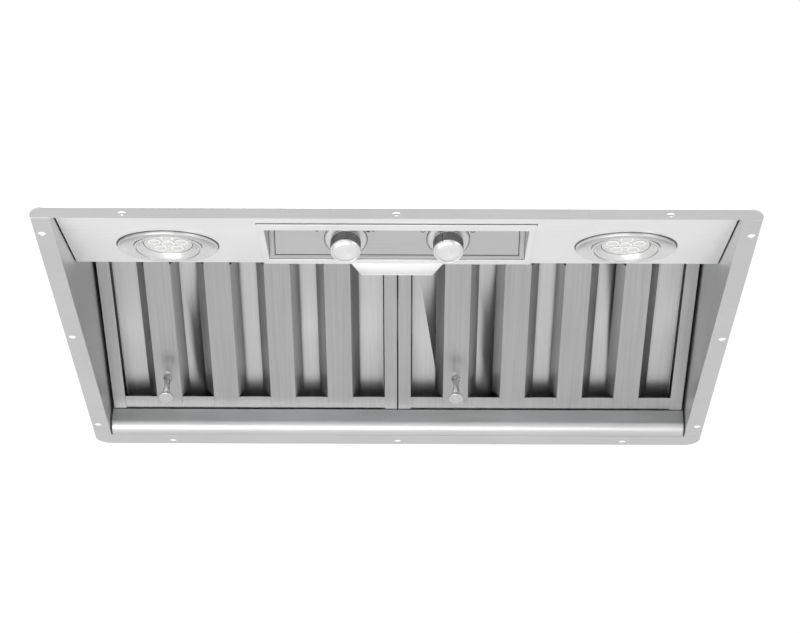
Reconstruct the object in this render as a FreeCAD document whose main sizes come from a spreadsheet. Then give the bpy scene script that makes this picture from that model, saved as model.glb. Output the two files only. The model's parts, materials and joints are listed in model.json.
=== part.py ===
"""Built-in range hood insert: a stainless liner that is screwed up into a cabinet or an island cover.

Frame: +X to the right, +Y to the rear, +Z up.  The origin is the centre of the mounting flange's
underside.  Millimetres and degrees throughout.
"""
import FreeCAD, Part
import os
import re
import Sketcher
from FreeCAD import Placement, Rotation, Vector

# ---------------------------------------------------------------------------------- driving sizes
SIZES = {
    # shell and its mounting flange
    "hood_width": 720, "hood_depth": 590, "shell_height": 222, "sheet_gauge": 1.2,
    "side_flange": 19.5, "front_flange": 21, "rear_flange": 25.5, "flange_corner": 18,
    "flange_hole": 4, "front_hole_edge": 11.5, "rear_hole_edge": 8.5, "side_hole_edge": 7,
    "cover_front": 9.8, "cover_slope": 28, "cover_lip": 6.2, "cover_skirt": 12,
    "seam_gap": 0.3, "rest_gap": 0.3,
    # small fasteners
    "screw_shank": 1.9, "screw_hole": 2.1, "screw_head": 3.8, "screw_head_height": 2.2,
    # sloping light panel behind the front flange
    "panel_slope": 11.3, "panel_rise": 8.6, "panel_length": 184, "panel_end_gap": 1.2,
    "panel_lip": 12,
    # recessed controls
    "bezel_width": 281, "bezel_band": 18.6, "bezel_gauge": 1.5, "bezel_rim": 6.5,
    "bezel_tail": 14.9, "recess_depth": 107.7, "plate_pitch": 32.3, "plate_length": 54,
    "plate_border": 5, "plate_rise": 0.8, "tab_width": 98, "tab_drop": 14, "tab_cut": 11.4,
    "knob_spacing": 107, "knob_back": 27.9, "knob_radius": 15.9, "knob_height": 16.6,
    "knob_stand": 4.4, "knob_bevel": 1.4, "ring_radius": 22.3, "ring_gauge": 1,
    "spindle_radius": 3, "spindle_play": 0.04, "spindle_reach": 15, "bushing_radius": 4.4,
    "bushing_reach": 3.9, "nut_radius": 6.6, "nut_height": 2.3, "switch_width": 26,
    "switch_depth": 16, "dimmer_radius": 12, "pointer_width": 1.2,
    # lights
    "lamp_edge": 104, "lamp_tail": 62.8, "trim_radius": 52, "trim_edge": 2.2, "trim_dome": 1,
    "trim_seat": 49, "gimbal_radius": 35, "gimbal_gap": 0.35, "gimbal_rim": 1.5,
    "gimbal_height": 13, "gimbal_tilt": 6, "lamp_radius": 25, "lamp_inset": 4, "lamp_face": 7,
    "lamp_neck": 10, "lamp_cone": 9, "lamp_base": 4, "holder_radius": 13, "holder_length": 6,
    # baffle filters
    "filter_side_gap": 3.7, "filter_length": 275, "filter_thickness": 23, "filter_slope": 18.7,
    "filter_tail": 7.5, "filter_drop": 25.2, "filter_gap": 1.6, "filter_sheet": 0.8,
    "strip_width": 29, "strip_flank": 9.5, "strip_height": 11, "upper_width": 36,
    "upper_level": 16, "upper_leg": 6, "end_lip": 28, "front_lip": 22, "strip_end": 17,
    "slide_room": 26, "pocket_grip": 14, "rivet_radius": 2.4,
    "pull_back": 61.2, "pull_base": 5.4, "pull_waist": 3.3, "pull_face": 8.6, "pull_length": 32.5,
    # grease trough
    "trough_reach": 15.5, "trough_round": 12, "trough_rear_wall": 40, "trough_end_gap": 2,
    # blower
    "blower_drop": 70, "volute_radius": 57, "volute_step": 8, "blower_width": 152,
    "inlet_radius": 36, "inlet_flare": 42, "inlet_reach": 6, "wheel_radius": 46,
    "wheel_width": 132, "blade_depth": 9, "blade_gauge": 0.9, "shaft_radius": 4,
    "shaft_play": 0.05, "motor_radius": 36, "motor_length": 62, "motor_stand": 11,
    "bracket_gauge": 2.5, "bracket_reach": 46, "outlet_lip": 8,
    # rectangular duct collar with back-draught flaps
    "duct_tail": 50, "duct_width": 254, "duct_depth": 83, "duct_height": 30, "duct_lip": 8,
    "stop_width": 3.5, "stop_height": 5, "flap_gap": 1.4, "flap_gauge": 0.8,
    "pin_radius": 2, "pin_play": 0.08, "knuckle_wall": 1.2,
    # supply box
    "box_length": 100, "box_width": 80, "box_height": 52, "box_side": 40.5, "box_tail": 119.5,
    "gland_bore": 5, "gland_radius": 10, "gland_flange": 14, "gland_height": 14,
}

# Sizes that follow from the driving ones.
DERIVED = {
    "inner_x": "hood_width/2 - side_flange",
    "inner_front": "hood_depth/2 - front_flange",
    "inner_rear": "hood_depth/2 - rear_flange",
    "hole_span_x": "hood_width - 183",
    "hole_span_y": "hood_depth - 110",
    "cover_edge": "2*sheet_gauge + seam_gap",
    "cover_knee": "(shell_height - cover_front)/tan(cover_slope) - inner_front - cover_edge",
    "recess_rear": "panel_length - bezel_tail",
    "recess_front": "recess_rear - recess_depth",
    "bezel_front": "recess_front - bezel_band",
    "lamp_span": "2*(inner_x - lamp_edge)",
    "lamp_back": "panel_length - lamp_tail",
    "filter_width": "inner_x - filter_side_gap - filter_gap/2",
    "filter_rear": "inner_rear - filter_tail",
    "trough_front": "inner_rear - trough_reach",
    "duct_mid": "inner_rear - duct_tail",
    "blower_depth": "duct_mid - volute_radius/2 - volute_step",
    "blower_axis": "shell_height - blower_drop",
    "box_left": "inner_x - box_side",
    "box_front": "inner_rear - box_tail",
    "panel_y": "0.5 - inner_front",
    "panel_z": "panel_rise",
    "bulkhead_y": "panel_y + panel_length*cos(panel_slope) + 0.06",
    "bulkhead_z": "panel_z + panel_length*sin(panel_slope) + sheet_gauge",
    "filter_pitch": "filter_width/5",
    "pocket_end": "filter_length + slide_room + filter_sheet",
    "pocket_y": "filter_rear - pocket_end*cos(filter_slope) - (rest_gap + sheet_gauge)*sin(filter_slope)",
    "pocket_z": "filter_drop + pocket_end*sin(filter_slope) - (rest_gap + sheet_gauge)*cos(filter_slope)",
    "trough_lip": "filter_drop + (filter_rear - trough_front - sheet_gauge)*tan(filter_slope) - rest_gap",
    "plate_top_u": "recess_rear - plate_length*cos(plate_pitch)",
    "plate_top_v": "plate_length*sin(plate_pitch)",
    "volute_right": "volute_radius + 2.5*volute_step",
    "flap_axis": "shell_height + stop_height + 2*sheet_gauge + flap_gauge/2 + rest_gap",
}

# ------------------------------------------------------------------------------ document and sheet
doc = FreeCAD.newDocument("range_hood_insert")
sheet = doc.addObject("Spreadsheet::Sheet", "sizes")
SCRATCH_CELL = "Z1"


def fill_sheet():
    """Write each size as a named cell; derived sizes are formulas on the driving ones."""
    row = 0
    for name, value in list(SIZES.items()) + list(DERIVED.items()):
        row += 1
        sheet.set(f"A{row}", name)
        sheet.set(f"B{row}", f"={value}" if isinstance(value, str) else str(value))
        sheet.setAlias(f"B{row}", name)
    doc.recompute()


fill_sheet()
KNOWN_WORDS = set(SIZES) | set(DERIVED)


def bound(expression):
    """The same expression with each size's name pointing at the sheet."""
    return re.sub(r"[a-z_]+", lambda word: f"sizes.{word[0]}" if word[0] in KNOWN_WORDS else word[0], expression)


def size(expression):
    """The present value of an expression on the sheet's sizes."""
    sheet.set(SCRATCH_CELL, f"={expression}")
    sheet.recompute()
    return float(sheet.get(SCRATCH_CELL))


# ------------------------------------------------------------------------------- shape vocabulary
FACING = {
    "up": Rotation(),
    "down": Rotation(Vector(1, 0, 0), 180),
    "rear": Rotation(Vector(1, 0, 0), -90),
    "front": Rotation(Vector(1, 0, 0), 90),
    "right": Rotation(Vector(0, 1, 0), 90),
    "left": Rotation(Vector(0, 1, 0), -90),
}
HOOD = ("0", "0", "0", None)
NODES = []


def bind(item, **expressions):
    for name, expression in expressions.items():
        item.setExpression(name.replace("__", "."), bound(expression))


def put(item, x="0", y="0", z="0", facing="up", turn=None):
    """Place an item: facing turns its own +Z, turn tips it about X by a bound angle."""
    rotation = Rotation(Vector(1, 0, 0), 1) if turn else FACING[facing]
    item.Placement = Placement(Vector(), rotation)
    if turn:
        bind(item, Placement__Rotation__Angle=turn)
    bind(item, Placement__Base__x=x, Placement__Base__y=y, Placement__Base__z=z)
    return item


def block(x, y, z, turn=None):
    """A plate or bar between pairs of bounds."""
    item = doc.addObject("Part::Box", "block")
    bind(item, Length=f"({x[1]}) - ({x[0]})", Width=f"({y[1]}) - ({y[0]})", Height=f"({z[1]}) - ({z[0]})")
    return put(item, x[0], y[0], z[0], turn=turn)


def rod(radius, length, x="0", y="0", z="0", facing="up", sweep=360):
    item = doc.addObject("Part::Cylinder", "rod")
    bind(item, Radius=radius, Height=length)
    item.Angle = sweep
    return put(item, x, y, z, facing)


def taper(base, tip, length, x="0", y="0", z="0", facing="up"):
    item = doc.addObject("Part::Cone", "taper")
    bind(item, Radius1=base, Radius2=tip, Height=length)
    return put(item, x, y, z, facing)


def group(*items):
    item = doc.addObject("Part::Compound", "group")
    item.Links = list(items)
    return item


def fuse(*items):
    """One solid from several; a single item is only wrapped, so that it can be placed again."""
    if len(items) == 1:
        return group(*items)
    item = doc.addObject("Part::MultiFuse", "fuse")
    item.Shapes = list(items)
    item.Refine = True
    return item


def cut(base, *tools):
    item = doc.addObject("Part::Cut", "cut")
    item.Base = base
    item.Tool = tools[0] if len(tools) == 1 else fuse(*tools)
    return item


def shared(first, second):
    item = doc.addObject("Part::Common", "shared")
    item.Base = first
    item.Tool = second
    return item


def tube(outer, inner, length, x="0", y="0", z="0", facing="up"):
    """A round sleeve."""
    hole = rod(inner, f"({length}) + 2", z="-1")
    return put(cut(rod(outer, length), hole), x, y, z, facing)


def node(label, item, frame=HOOD):
    """Name a finished sub-part and set it in its frame (x, y, z, tip about X)."""
    item.Label = label
    x, y, z, turn = frame
    if frame is not HOOD:
        put(item, x, y, z, turn=turn)
    NODES.append(item)
    return item


def new_body(label):
    return doc.addObject("PartDesign::Body", f"{label}_body")


def blank_sketch(body, plane, level="0"):
    """An empty sketch on one of the body's own planes, lifted off it by level."""
    sketch = body.newObject("Sketcher::SketchObject", "outline")
    support = [part for part in body.Origin.OriginFeatures if part.Role == plane][0]
    sketch.AttachmentSupport = [(support, "")]
    sketch.MapMode = "FlatFace"
    bind(sketch, AttachmentOffset__Base__z=level)
    return sketch


def polygon(sketch, points):
    """Close a polygon through points, each held to the sheet by its two coordinates."""
    start = sketch.GeometryCount
    corners = [Vector(size(x), size(y), 0) for x, y in points]
    count = len(points)
    for index in range(count):
        sketch.addGeometry(Part.LineSegment(corners[index], corners[(index + 1) % count]))
    for index in range(count):
        following = start + (index + 1) % count
        sketch.addConstraint(Sketcher.Constraint("Coincident", start + index, 2, following, 1))
    for index, (x, y) in enumerate(points):
        for kind, value, expression in (("DistanceX", corners[index].x, x), ("DistanceY", corners[index].y, y)):
            rule = sketch.addConstraint(Sketcher.Constraint(kind, -1, 1, start + index, 1, value))
            sketch.setExpression(f"Constraints[{rule}]", bound(expression))


def circle(sketch, radius):
    """A circle about the sketch's origin."""
    ring = sketch.addGeometry(Part.Circle(Vector(), Vector(0, 0, 1), size(radius)))
    sketch.addConstraint(Sketcher.Constraint("Coincident", ring, 3, -1, 1))
    rule = sketch.addConstraint(Sketcher.Constraint("Radius", ring, size(radius)))
    sketch.setExpression(f"Constraints[{rule}]", bound(radius))


def pad(body, sketch, length, kind="PartDesign::Pad"):
    """Thicken a sketch evenly to both sides of its plane."""
    feature = body.newObject(kind, "pad")
    feature.Profile = sketch
    feature.SideType = "Symmetric"
    bind(feature, Length=length)
    sketch.Visibility = False
    return feature


def extruded(label, plane, points, length):
    body = new_body(label)
    sketch = blank_sketch(body, plane)
    polygon(sketch, points)
    pad(body, sketch, length)
    return body


def turned(label, points):
    """A lathe-turned piece about its own Z axis, from (radius, height) points."""
    body = new_body(label)
    sketch = blank_sketch(body, "XZ_Plane")
    polygon(sketch, points)
    feature = body.newObject("PartDesign::Revolution", "turning")
    feature.Profile = sketch
    feature.ReferenceAxis = (sketch, ["V_Axis"])
    feature.Angle = 360
    return body


def screw(x, y, z, facing, shank="3*sheet_gauge"):
    """A pan-head screw whose head faces one way and whose shank runs the other."""
    head = rod("screw_head", "screw_head_height")
    stem = rod("screw_shank", f"{shank}", z=f"-({shank})")
    return put(fuse(head, stem), x, y, z, facing)


def screw_bore(x, y, z, facing):
    """The clearance hole for such a screw, well through both sheets."""
    bore = rod("screw_hole", "12*sheet_gauge", z="-6*sheet_gauge")
    return put(fuse(bore), x, y, z, facing)


def panel_point(along, above="0"):
    """Depth and height in the hood of a point measured along and above the light panel."""
    y = f"(panel_y + ({along})*cos(panel_slope) - ({above})*sin(panel_slope))"
    z = f"(panel_z + ({along})*sin(panel_slope) + ({above})*cos(panel_slope))"
    return y, z


PANEL = ("0", "panel_y", "panel_z", "panel_slope")
PLATE = ("0", *panel_point("recess_rear"), "panel_slope - plate_pitch")
SIDES = {"left": "-1", "right": "1"}


# ------------------------------------------------------------------------------------------ shell
def cover_level(y, depth="0"):
    """Height of the sloping cover's outside at y, or of a line depth under it, square to the slope."""
    run = f"(({y}) + inner_front + cover_edge)*tan(cover_slope)"
    return f"(cover_front + {run} - ({depth})/cos(cover_slope))"


def cover_profile(depth, front, rear, foot):
    """The cover's line seen from the side, depth under its outside, closed along the foot."""
    knee = f"cover_knee + ({depth})*(1/cos(cover_slope) - 1)/tan(cover_slope)"
    top = f"shell_height - ({depth})"
    return [(front, foot), (front, cover_level(front, depth)), (knee, top), (rear, top), (rear, foot)]


def lid_screw_places():
    """Where the cover's skirt is screwed to the walls: (x, y, z, facing)."""
    level = "shell_height - cover_skirt/2"
    side = "inner_x + cover_edge"
    places = [(f"{sign}*hole_span_x/2", "inner_rear + cover_edge", level, "rear") for sign in SIDES.values()]
    for y, z in (("(cover_knee + inner_rear)/2", level), ("0", cover_level("0", "cover_skirt/2")),
                 ("-inner_front/2", cover_level("-inner_front/2", "cover_skirt/2"))):
        places.append((f"-({side})", y, z, "left"))
        places.append((side, y, z, "right"))
    return places


def lid_bores():
    return [screw_bore(*place) for place in lid_screw_places()]


def end_wall(label, outer, inner, hole_y, sign, top):
    """The front or rear wall: an upright sheet with a full-width flange that has rounded corners.

    sign is -1 at the front and 1 at the rear, outer and inner are the flange's edges in Y.
    """
    round_y = f"({outer}) - ({sign})*flange_corner"
    span = sorted((outer, inner), key=size)
    short = sorted((round_y, inner), key=size)
    upright = sorted((inner, f"({inner}) + ({sign})*sheet_gauge"), key=size)
    flat = ("0", "sheet_gauge")
    pieces = [
        block(("flange_corner - hood_width/2", "hood_width/2 - flange_corner"), span, flat),
        block(("-hood_width/2", "hood_width/2"), short, flat),
        block(("-inner_x - sheet_gauge", "inner_x + sheet_gauge"), upright, ("0", top)),
    ]
    for side in SIDES.values():
        corner = rod("flange_corner", "sheet_gauge", f"{side}*(hood_width/2 - flange_corner)", round_y)
        pieces.append(shared(corner, block(("-hood_width/2", "hood_width/2"), span, flat)))
    bores = [rod("flange_hole", "4*sheet_gauge", f"{place}*hole_span_x/2", hole_y, "-sheet_gauge")
             for place in ("-1", "0", "1")]
    node(label, cut(fuse(*pieces), *bores, *lid_bores()))


def side_wall(label, sign):
    """A side wall cut to the cover's slope; its narrower flange butts between the other two."""
    depth = ("-inner_front + seam_gap", "inner_rear - seam_gap")
    flange = sorted((f"{sign}*inner_x", f"{sign}*hood_width/2"), key=size)
    upright = extruded(label, "YZ_Plane", cover_profile("sheet_gauge", *depth, "0"), "sheet_gauge")
    put(upright, f"{sign}*(inner_x + sheet_gauge/2)")
    pieces = [upright, block(flange, depth, ("0", "sheet_gauge"))]
    hole_x = f"{sign}*(hood_width/2 - side_hole_edge)"
    bores = [rod("flange_hole", "4*sheet_gauge", hole_x, f"{place}*hole_span_y/2", "-sheet_gauge")
             for place in ("-1", "0", "1")]
    node(label, cut(fuse(*pieces), *bores, *lid_bores()))


def top_cover():
    """The sloping cover with its flat rear part and a skirt folded down outside the walls."""
    front, rear = "-inner_front - cover_edge", "inner_rear + cover_edge"
    half = "(inner_x + cover_edge)"
    foot = "cover_front - cover_lip"
    line = cover_profile("0", front, rear, foot)
    skirt = "cover_skirt"
    outline = line[:4] + [
        (rear, f"shell_height - {skirt}"),
        (f"cover_knee + {skirt}*(1/cos(cover_slope) - 1)/tan(cover_slope)", f"shell_height - {skirt}"),
        (f"{front} + ({skirt}/cos(cover_slope) - cover_lip)/tan(cover_slope)", foot)]
    outer = extruded("top_cover", "YZ_Plane", outline, f"2*{half}")
    hollow = extruded("top_cover_hollow", "YZ_Plane", cover_profile(
        "sheet_gauge", f"{front} + sheet_gauge", f"{rear} - sheet_gauge", f"{foot} - 2"), f"2*({half} - sheet_gauge)")
    outlet = duct_block("sheet_gauge + stop_width", ("shell_height - 2*sheet_gauge", "shell_height + sheet_gauge"))
    entry = rod("gland_radius + rest_gap", "4*sheet_gauge", *gland_place(), "shell_height - 2*sheet_gauge")
    node("top_cover", cut(outer, hollow, outlet, entry, *lid_bores()))


def shell():
    end_wall("front_wall", "-hood_depth/2", "-inner_front", "front_hole_edge - hood_depth/2", "-1",
             cover_level("-inner_front - sheet_gauge", "sheet_gauge"))
    end_wall("rear_wall", "hood_depth/2", "inner_rear", "hood_depth/2 - rear_hole_edge", "1",
             "shell_height - sheet_gauge")
    side_wall("left_wall", "-1")
    side_wall("right_wall", "1")
    top_cover()
    node("shell_screws", group(*[screw(*place) for place in lid_screw_places()]))


# ---------------------------------------------------------------------- light panel and its cover
def panel_screw_places():
    y = "bulkhead_y + sheet_gauge"
    z = "bulkhead_z + panel_lip/2"
    return [(f"{place}*hole_span_x/3", y, z, "rear") for place in ("-1", "0", "1")]


def light_panel():
    """The brushed panel that carries the lights and the controls, with a lip along its rear edge."""
    width = ("panel_end_gap - inner_x", "inner_x - panel_end_gap")
    opening = "bezel_width/2 - bezel_rim + sheet_gauge + rest_gap"
    plate = block(width, ("0", "panel_length"), ("0", "sheet_gauge"))
    rear_lip = block(width, ("panel_length - sheet_gauge", "panel_length"),
                     ("sheet_gauge*sin(panel_slope)", "panel_lip + sheet_gauge"), turn="-panel_slope")
    seats = [rod("trim_seat + rest_gap", "4*sheet_gauge", f"{side}*lamp_span/2", "lamp_back", "-sheet_gauge")
             for side in SIDES.values()]
    window = block((f"-({opening})", opening), ("recess_front - 2*sheet_gauge", "recess_rear + 2*sheet_gauge"),
                   ("-sheet_gauge", "3*sheet_gauge"))
    sheet_part = cut(fuse(plate, rear_lip), *seats, window)
    put(sheet_part, *PANEL[:3], turn=PANEL[3])
    node("light_panel", cut(sheet_part, *[screw_bore(*place) for place in panel_screw_places()]))


def light_box_wall():
    """The wall behind the lights: up the panel's lip, back to the filters' pocket and up to the cover."""
    foot = "bulkhead_z + panel_lip"
    body = extruded("light_box_wall", "YZ_Plane", [
        ("bulkhead_y", "bulkhead_z"), ("bulkhead_y + sheet_gauge", "bulkhead_z"), ("bulkhead_y + sheet_gauge", foot),
        ("pocket_y", "pocket_z - sheet_gauge/2"), ("pocket_y", cover_level("pocket_y", "2*sheet_gauge")),
        ("pocket_y - sheet_gauge", cover_level("pocket_y - sheet_gauge", "2*sheet_gauge")),
        ("pocket_y - sheet_gauge", "pocket_z"), ("bulkhead_y", f"{foot} + sheet_gauge/2")], "2*inner_x")
    node("light_box_wall", cut(body, *[screw_bore(*place) for place in panel_screw_places()]))
    node("panel_screws", group(*[screw(*place) for place in panel_screw_places()]))


# --------------------------------------------------------------------------------------- controls
def control_bezel():
    """The frame round the recess, with a plain tab that hangs from its rear edge."""
    half = "bezel_width/2"
    frame_plate = block((f"-{half}", half), ("bezel_front", "panel_length"), ("-bezel_gauge", "0"))
    window = block((f"bezel_rim - {half}", f"{half} - bezel_rim"), ("recess_front", "recess_rear"),
                   ("-3*bezel_gauge", "bezel_gauge"))
    tab = doc.addObject("Part::Wedge", "tab")
    bind(tab, Xmin="-tab_width/2", Xmax="tab_width/2", X2min="tab_cut - tab_width/2", X2max="tab_width/2 - tab_cut",
         Ymin="0", Ymax="tab_drop", Zmin="0", Zmax="sheet_gauge", Z2min="0", Z2max="sheet_gauge")
    put(tab, "0", "panel_length - sheet_gauge*1.5", "-bezel_gauge/2", turn="-90 - panel_slope")
    node("control_bezel", cut(fuse(frame_plate, tab), window), PANEL)


def control_recess():
    """The recess behind the bezel: two cheeks and a sloping front wall, open below and to the plate."""
    inner = "bezel_width - 2*bezel_rim"
    wall = "2*sheet_gauge"
    lean = "(plate_top_u - recess_front)/plate_top_v"
    body = extruded("control_recess", "YZ_Plane", [
        (f"recess_front - {wall}", "0"), ("recess_rear", "0"), ("plate_top_u", "plate_top_v"),
        (f"plate_top_u - {wall}", "plate_top_v")], f"{inner} + 2*sheet_gauge")
    sketch = blank_sketch(body, "YZ_Plane")
    polygon(sketch, [
        (f"recess_front - {lean}*5", "-5"), ("recess_rear + 20", "-5"),
        ("recess_rear + 20", "plate_top_v + 5"), (f"plate_top_u + {lean}*5", "plate_top_v + 5")])
    pad(body, sketch, inner, "PartDesign::Pocket")
    node("control_recess", body, PANEL)


def knob_x(side):
    return f"{side}*knob_spacing/2"


def plate_frame(side):
    """The frame of one control: its spindle runs along Z, and the knob is on the -Z side."""
    above = "-knob_back*cos(plate_pitch)"
    y, z = panel_point(f"recess_rear + ({above})", "knob_back*sin(plate_pitch)")
    return (knob_x(side), y, z, "panel_slope - plate_pitch")


def control_plate():
    """The plate that closes the recess, with a raised border along its ends and rear edge."""
    half = "bezel_width/2 - bezel_rim"
    plate = block((f"-({half} + sheet_gauge)", f"{half} + sheet_gauge"), ("-plate_length", "0"), ("0", "sheet_gauge"))
    borders = [
        block((f"-({half}) + rest_gap", f"-({half}) + plate_border"), ("-plate_length + 2*plate_border", "-sheet_gauge"),
              ("-plate_rise", "0")),
        block((f"{half} - plate_border", f"{half} - rest_gap"), ("-plate_length + 2*plate_border", "-sheet_gauge"),
              ("-plate_rise", "0")),
        block((f"-({half}) + rest_gap", f"{half} - rest_gap"), ("-plate_border/2 - sheet_gauge", "-sheet_gauge"),
              ("-plate_rise", "0")),
    ]
    bores = [rod("bushing_radius + rest_gap", "4*sheet_gauge", knob_x(side), "-knob_back", "-sheet_gauge")
             for side in SIDES.values()]
    node("control_plate", cut(fuse(plate, *borders), *bores), PLATE)


def knob(label, side):
    """A turned knob with a bevelled face, a blind bore for its spindle and a pointer groove."""
    face = "-(knob_stand + knob_height)"
    body = turned(label, [
        ("spindle_radius", "-knob_stand"), ("knob_radius", "-knob_stand"), ("knob_radius", f"{face} + knob_bevel"),
        ("knob_radius - knob_bevel", face), ("0", face), ("0", "-spindle_reach"), ("spindle_radius", "-spindle_reach")])
    groove = blank_sketch(body, "XY_Plane")
    polygon(groove, [("-pointer_width/2", "-knob_radius - 1"), ("pointer_width/2", "-knob_radius - 1"),
                     ("pointer_width/2", "0.8 - knob_radius"), ("-pointer_width/2", "0.8 - knob_radius")])
    doc.recompute()
    pad(body, groove, "4*knob_height", "PartDesign::Pocket")
    node(label, body, plate_frame(side))


def control(name, side, knob_label, ring_label, spindle_label, switch_label, square):
    """One rotary control: ring, knob, spindle and the switch body behind the plate."""
    frame = plate_frame(side)
    node(ring_label, fuse(tube("ring_radius", "bushing_radius + rest_gap", "ring_gauge", z="-ring_gauge")), frame)
    knob(knob_label, side)
    depth = "sheet_gauge + switch_depth - 4"
    node(spindle_label, fuse(rod("spindle_radius", f"spindle_reach + {depth}", z="-spindle_reach")), frame)
    if square:
        case = block(("-switch_width/2", "switch_width/2"), ("-switch_width/2", "switch_width/2"),
                     ("sheet_gauge", "sheet_gauge + switch_depth"))
    else:
        case = rod("dimmer_radius", "switch_depth", z="sheet_gauge")
    bushing = rod("bushing_radius", "bushing_reach + 2*sheet_gauge", z="-bushing_reach")
    bore = rod("spindle_radius + spindle_play", f"bushing_reach + {depth} + 0.5 + 1", z="-bushing_reach - 1")
    node(switch_label, cut(fuse(case, bushing), bore), frame)


def spindle_nut(side):
    """A hexagon nut that clamps the bushing to the ring."""
    nut = doc.addObject("Part::Prism", "hexagon")
    nut.Polygon = 6
    bind(nut, Circumradius="nut_radius", Height="nut_height")
    put(nut, z="-ring_gauge - nut_height")
    item = cut(nut, rod("bushing_radius + 0.02", "4*nut_height", z="-3*nut_height"))
    x, y, z, turn = plate_frame(side)
    return put(item, x, y, z, turn=turn)


def controls():
    control_bezel()
    control_recess()
    control_plate()
    control("speed", "-1", "speed_knob", "speed_knob_ring", "speed_spindle", "speed_switch", True)
    control("light", "1", "light_knob", "light_knob_ring", "light_spindle", "light_dimmer", False)
    node("spindle_nuts", group(*[spindle_nut(side) for side in SIDES.values()]))


# ----------------------------------------------------------------------------------------- lights
def lamp_frame(side, tilt="0"):
    """The gimbal's frame, centred on its pivot just under the panel."""
    y, z = panel_point("lamp_back", "-(trim_edge + trim_dome)*0.8")
    return (f"{side}*lamp_span/2", y, z, f"panel_slope - {tilt}")


def light_trim(name, side):
    """The domed trim that laps the panel, with a collar up through the hole."""
    y, z = panel_point("lamp_back")
    inner = "gimbal_radius + gimbal_gap"
    face = "-trim_edge - trim_dome"
    body = turned(f"{name}_light_trim", [
        (inner, face), (f"{inner} + 2", face), ("trim_radius - 0.6", "-trim_edge"), ("trim_radius", "0.6 - trim_edge"),
        ("trim_radius", "0"), ("trim_seat", "0"), ("trim_seat", "12*sheet_gauge"),
        ("trim_seat - sheet_gauge", "12*sheet_gauge"), ("trim_seat - sheet_gauge", "sheet_gauge - trim_edge"),
        (inner, f"{face} + 1.6")])
    node(f"{name}_light_trim", body, (f"{side}*lamp_span/2", y, z, "panel_slope"))


def lamp(name, side):
    """The tilting lamp: a ball-shaped ring, the reflector lamp in it and the holder on the lamp."""
    frame = lamp_frame(side, "gimbal_tilt")
    ball = doc.addObject("Part::Sphere", "ball")
    bind(ball, Radius="gimbal_radius")
    zone = shared(ball, rod("2*gimbal_radius", "gimbal_rim + gimbal_height", z="-gimbal_rim"))
    bore = rod("lamp_radius + rest_gap", "4*gimbal_height", z="-2*gimbal_height")
    dish = taper("gimbal_radius - 1.2", "lamp_radius + rest_gap", "gimbal_rim + lamp_inset", z="-gimbal_rim")
    node(f"{name}_lamp_ring", cut(zone, bore, dish), frame)
    neck = "lamp_inset + lamp_face"
    bulb = fuse(rod("lamp_radius", "lamp_face", z="lamp_inset"),
                taper("lamp_radius", "lamp_neck", "lamp_cone", z=neck),
                rod("lamp_neck", "lamp_base", z=f"{neck} + lamp_cone"))
    node(f"{name}_led_lamp", bulb, frame)
    socket = cut(rod("holder_radius", "holder_length", z=f"{neck} + lamp_cone + 1"),
                 rod("lamp_neck + 0.1", "lamp_base - 1 + 0.2", z=f"{neck} + lamp_cone + 1"))
    node(f"{name}_lamp_holder", socket, frame)


def spring_clip(side, end):
    """A leaf that hooks on the trim's collar and presses on the panel."""
    x = f"{side}*lamp_span/2"
    leg = sorted((f"{x} + {end}*trim_seat", f"{x} + {end}*(trim_seat + 0.9)"), key=size)
    foot = sorted((f"{x} + {end}*trim_seat", f"{x} + {end}*(trim_seat + 12)"), key=size)
    width = ("lamp_back - 5", "lamp_back + 5")
    return fuse(block(leg, width, ("sheet_gauge + 0.1", "11*sheet_gauge")),
                block(foot, width, ("sheet_gauge + 0.1", "sheet_gauge + 0.9")))


def lights():
    for name, side in SIDES.items():
        light_trim(name, side)
        lamp(name, side)
    node("light_spring_clips", group(*[spring_clip(side, end) for side in SIDES.values() for end in ("-1", "1")]), PANEL)


# ---------------------------------------------------------------------------------- baffle filters
def channel_points(centre, width, flank, low, high, gauge):
    """A sheet channel seen from its end: a flat bottom with two sides that splay by flank."""
    half = f"{width}/2"
    return [
        (f"{centre} - {half}", low), (f"{centre} + {half}", low), (f"{centre} + {half} + {flank}", high),
        (f"{centre} + {half} + {flank} - {gauge}", high), (f"{centre} + {half} - {gauge}/2", f"{low} + {gauge}"),
        (f"{centre} - {half} + {gauge}/2", f"{low} + {gauge}"), (f"{centre} - {half} - {flank} + {gauge}", high),
        (f"{centre} - {half} - {flank}", high)]


def baffle_row(label, centres, width, flank, low, high, length, middle):
    """Parallel channels that run the length of the filter, as one body of separate sheets."""
    body = new_body(label)
    sketch = blank_sketch(body, "XZ_Plane", f"-({middle})")
    for centre in centres:
        polygon(sketch, channel_points(centre, width, flank, low, high, "filter_sheet"))
    pad(body, sketch, length)
    return body


def filter_frame(label, frame):
    """Two side rails whose lower edges match the baffles, and an end rail across each end."""
    gauge, depth = "filter_sheet", "filter_thickness"
    lip = "strip_width/2"
    run = ("-filter_length", "0")
    pieces = []
    for start, sign in (("0", "1"), ("filter_width", "-1")):
        def across(reach):
            return sorted((start, f"{start} + {sign}*({reach})"), key=size)
        pieces += [
            block(across(gauge), run, ("0", depth)),
            block(across(lip), run, ("0", gauge)),
            block(across(lip), run, (f"{depth} - {gauge}", depth)),
        ]
    inside = (gauge, f"filter_width - {gauge}")
    for near, far, web in (("-end_lip", "0", f"-{gauge}"), ("-filter_length", "front_lip - filter_length", "-filter_length")):
        pieces += [
            block(inside, (near, far), (f"{gauge} + 0.1", f"2*{gauge} + 0.1")),
            block(inside, (web, f"{web} + {gauge}"), (f"{gauge} + 0.1", depth)),
            block(inside, (near, far), (f"{depth} - {gauge}", depth)),
        ]
    bores = [put(fuse(rod("rivet_radius/2", f"4*{gauge}", z=f"-2*{gauge}")), *place) for place in rivet_places()]
    node(label, cut(fuse(*pieces), *bores), frame)


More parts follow.
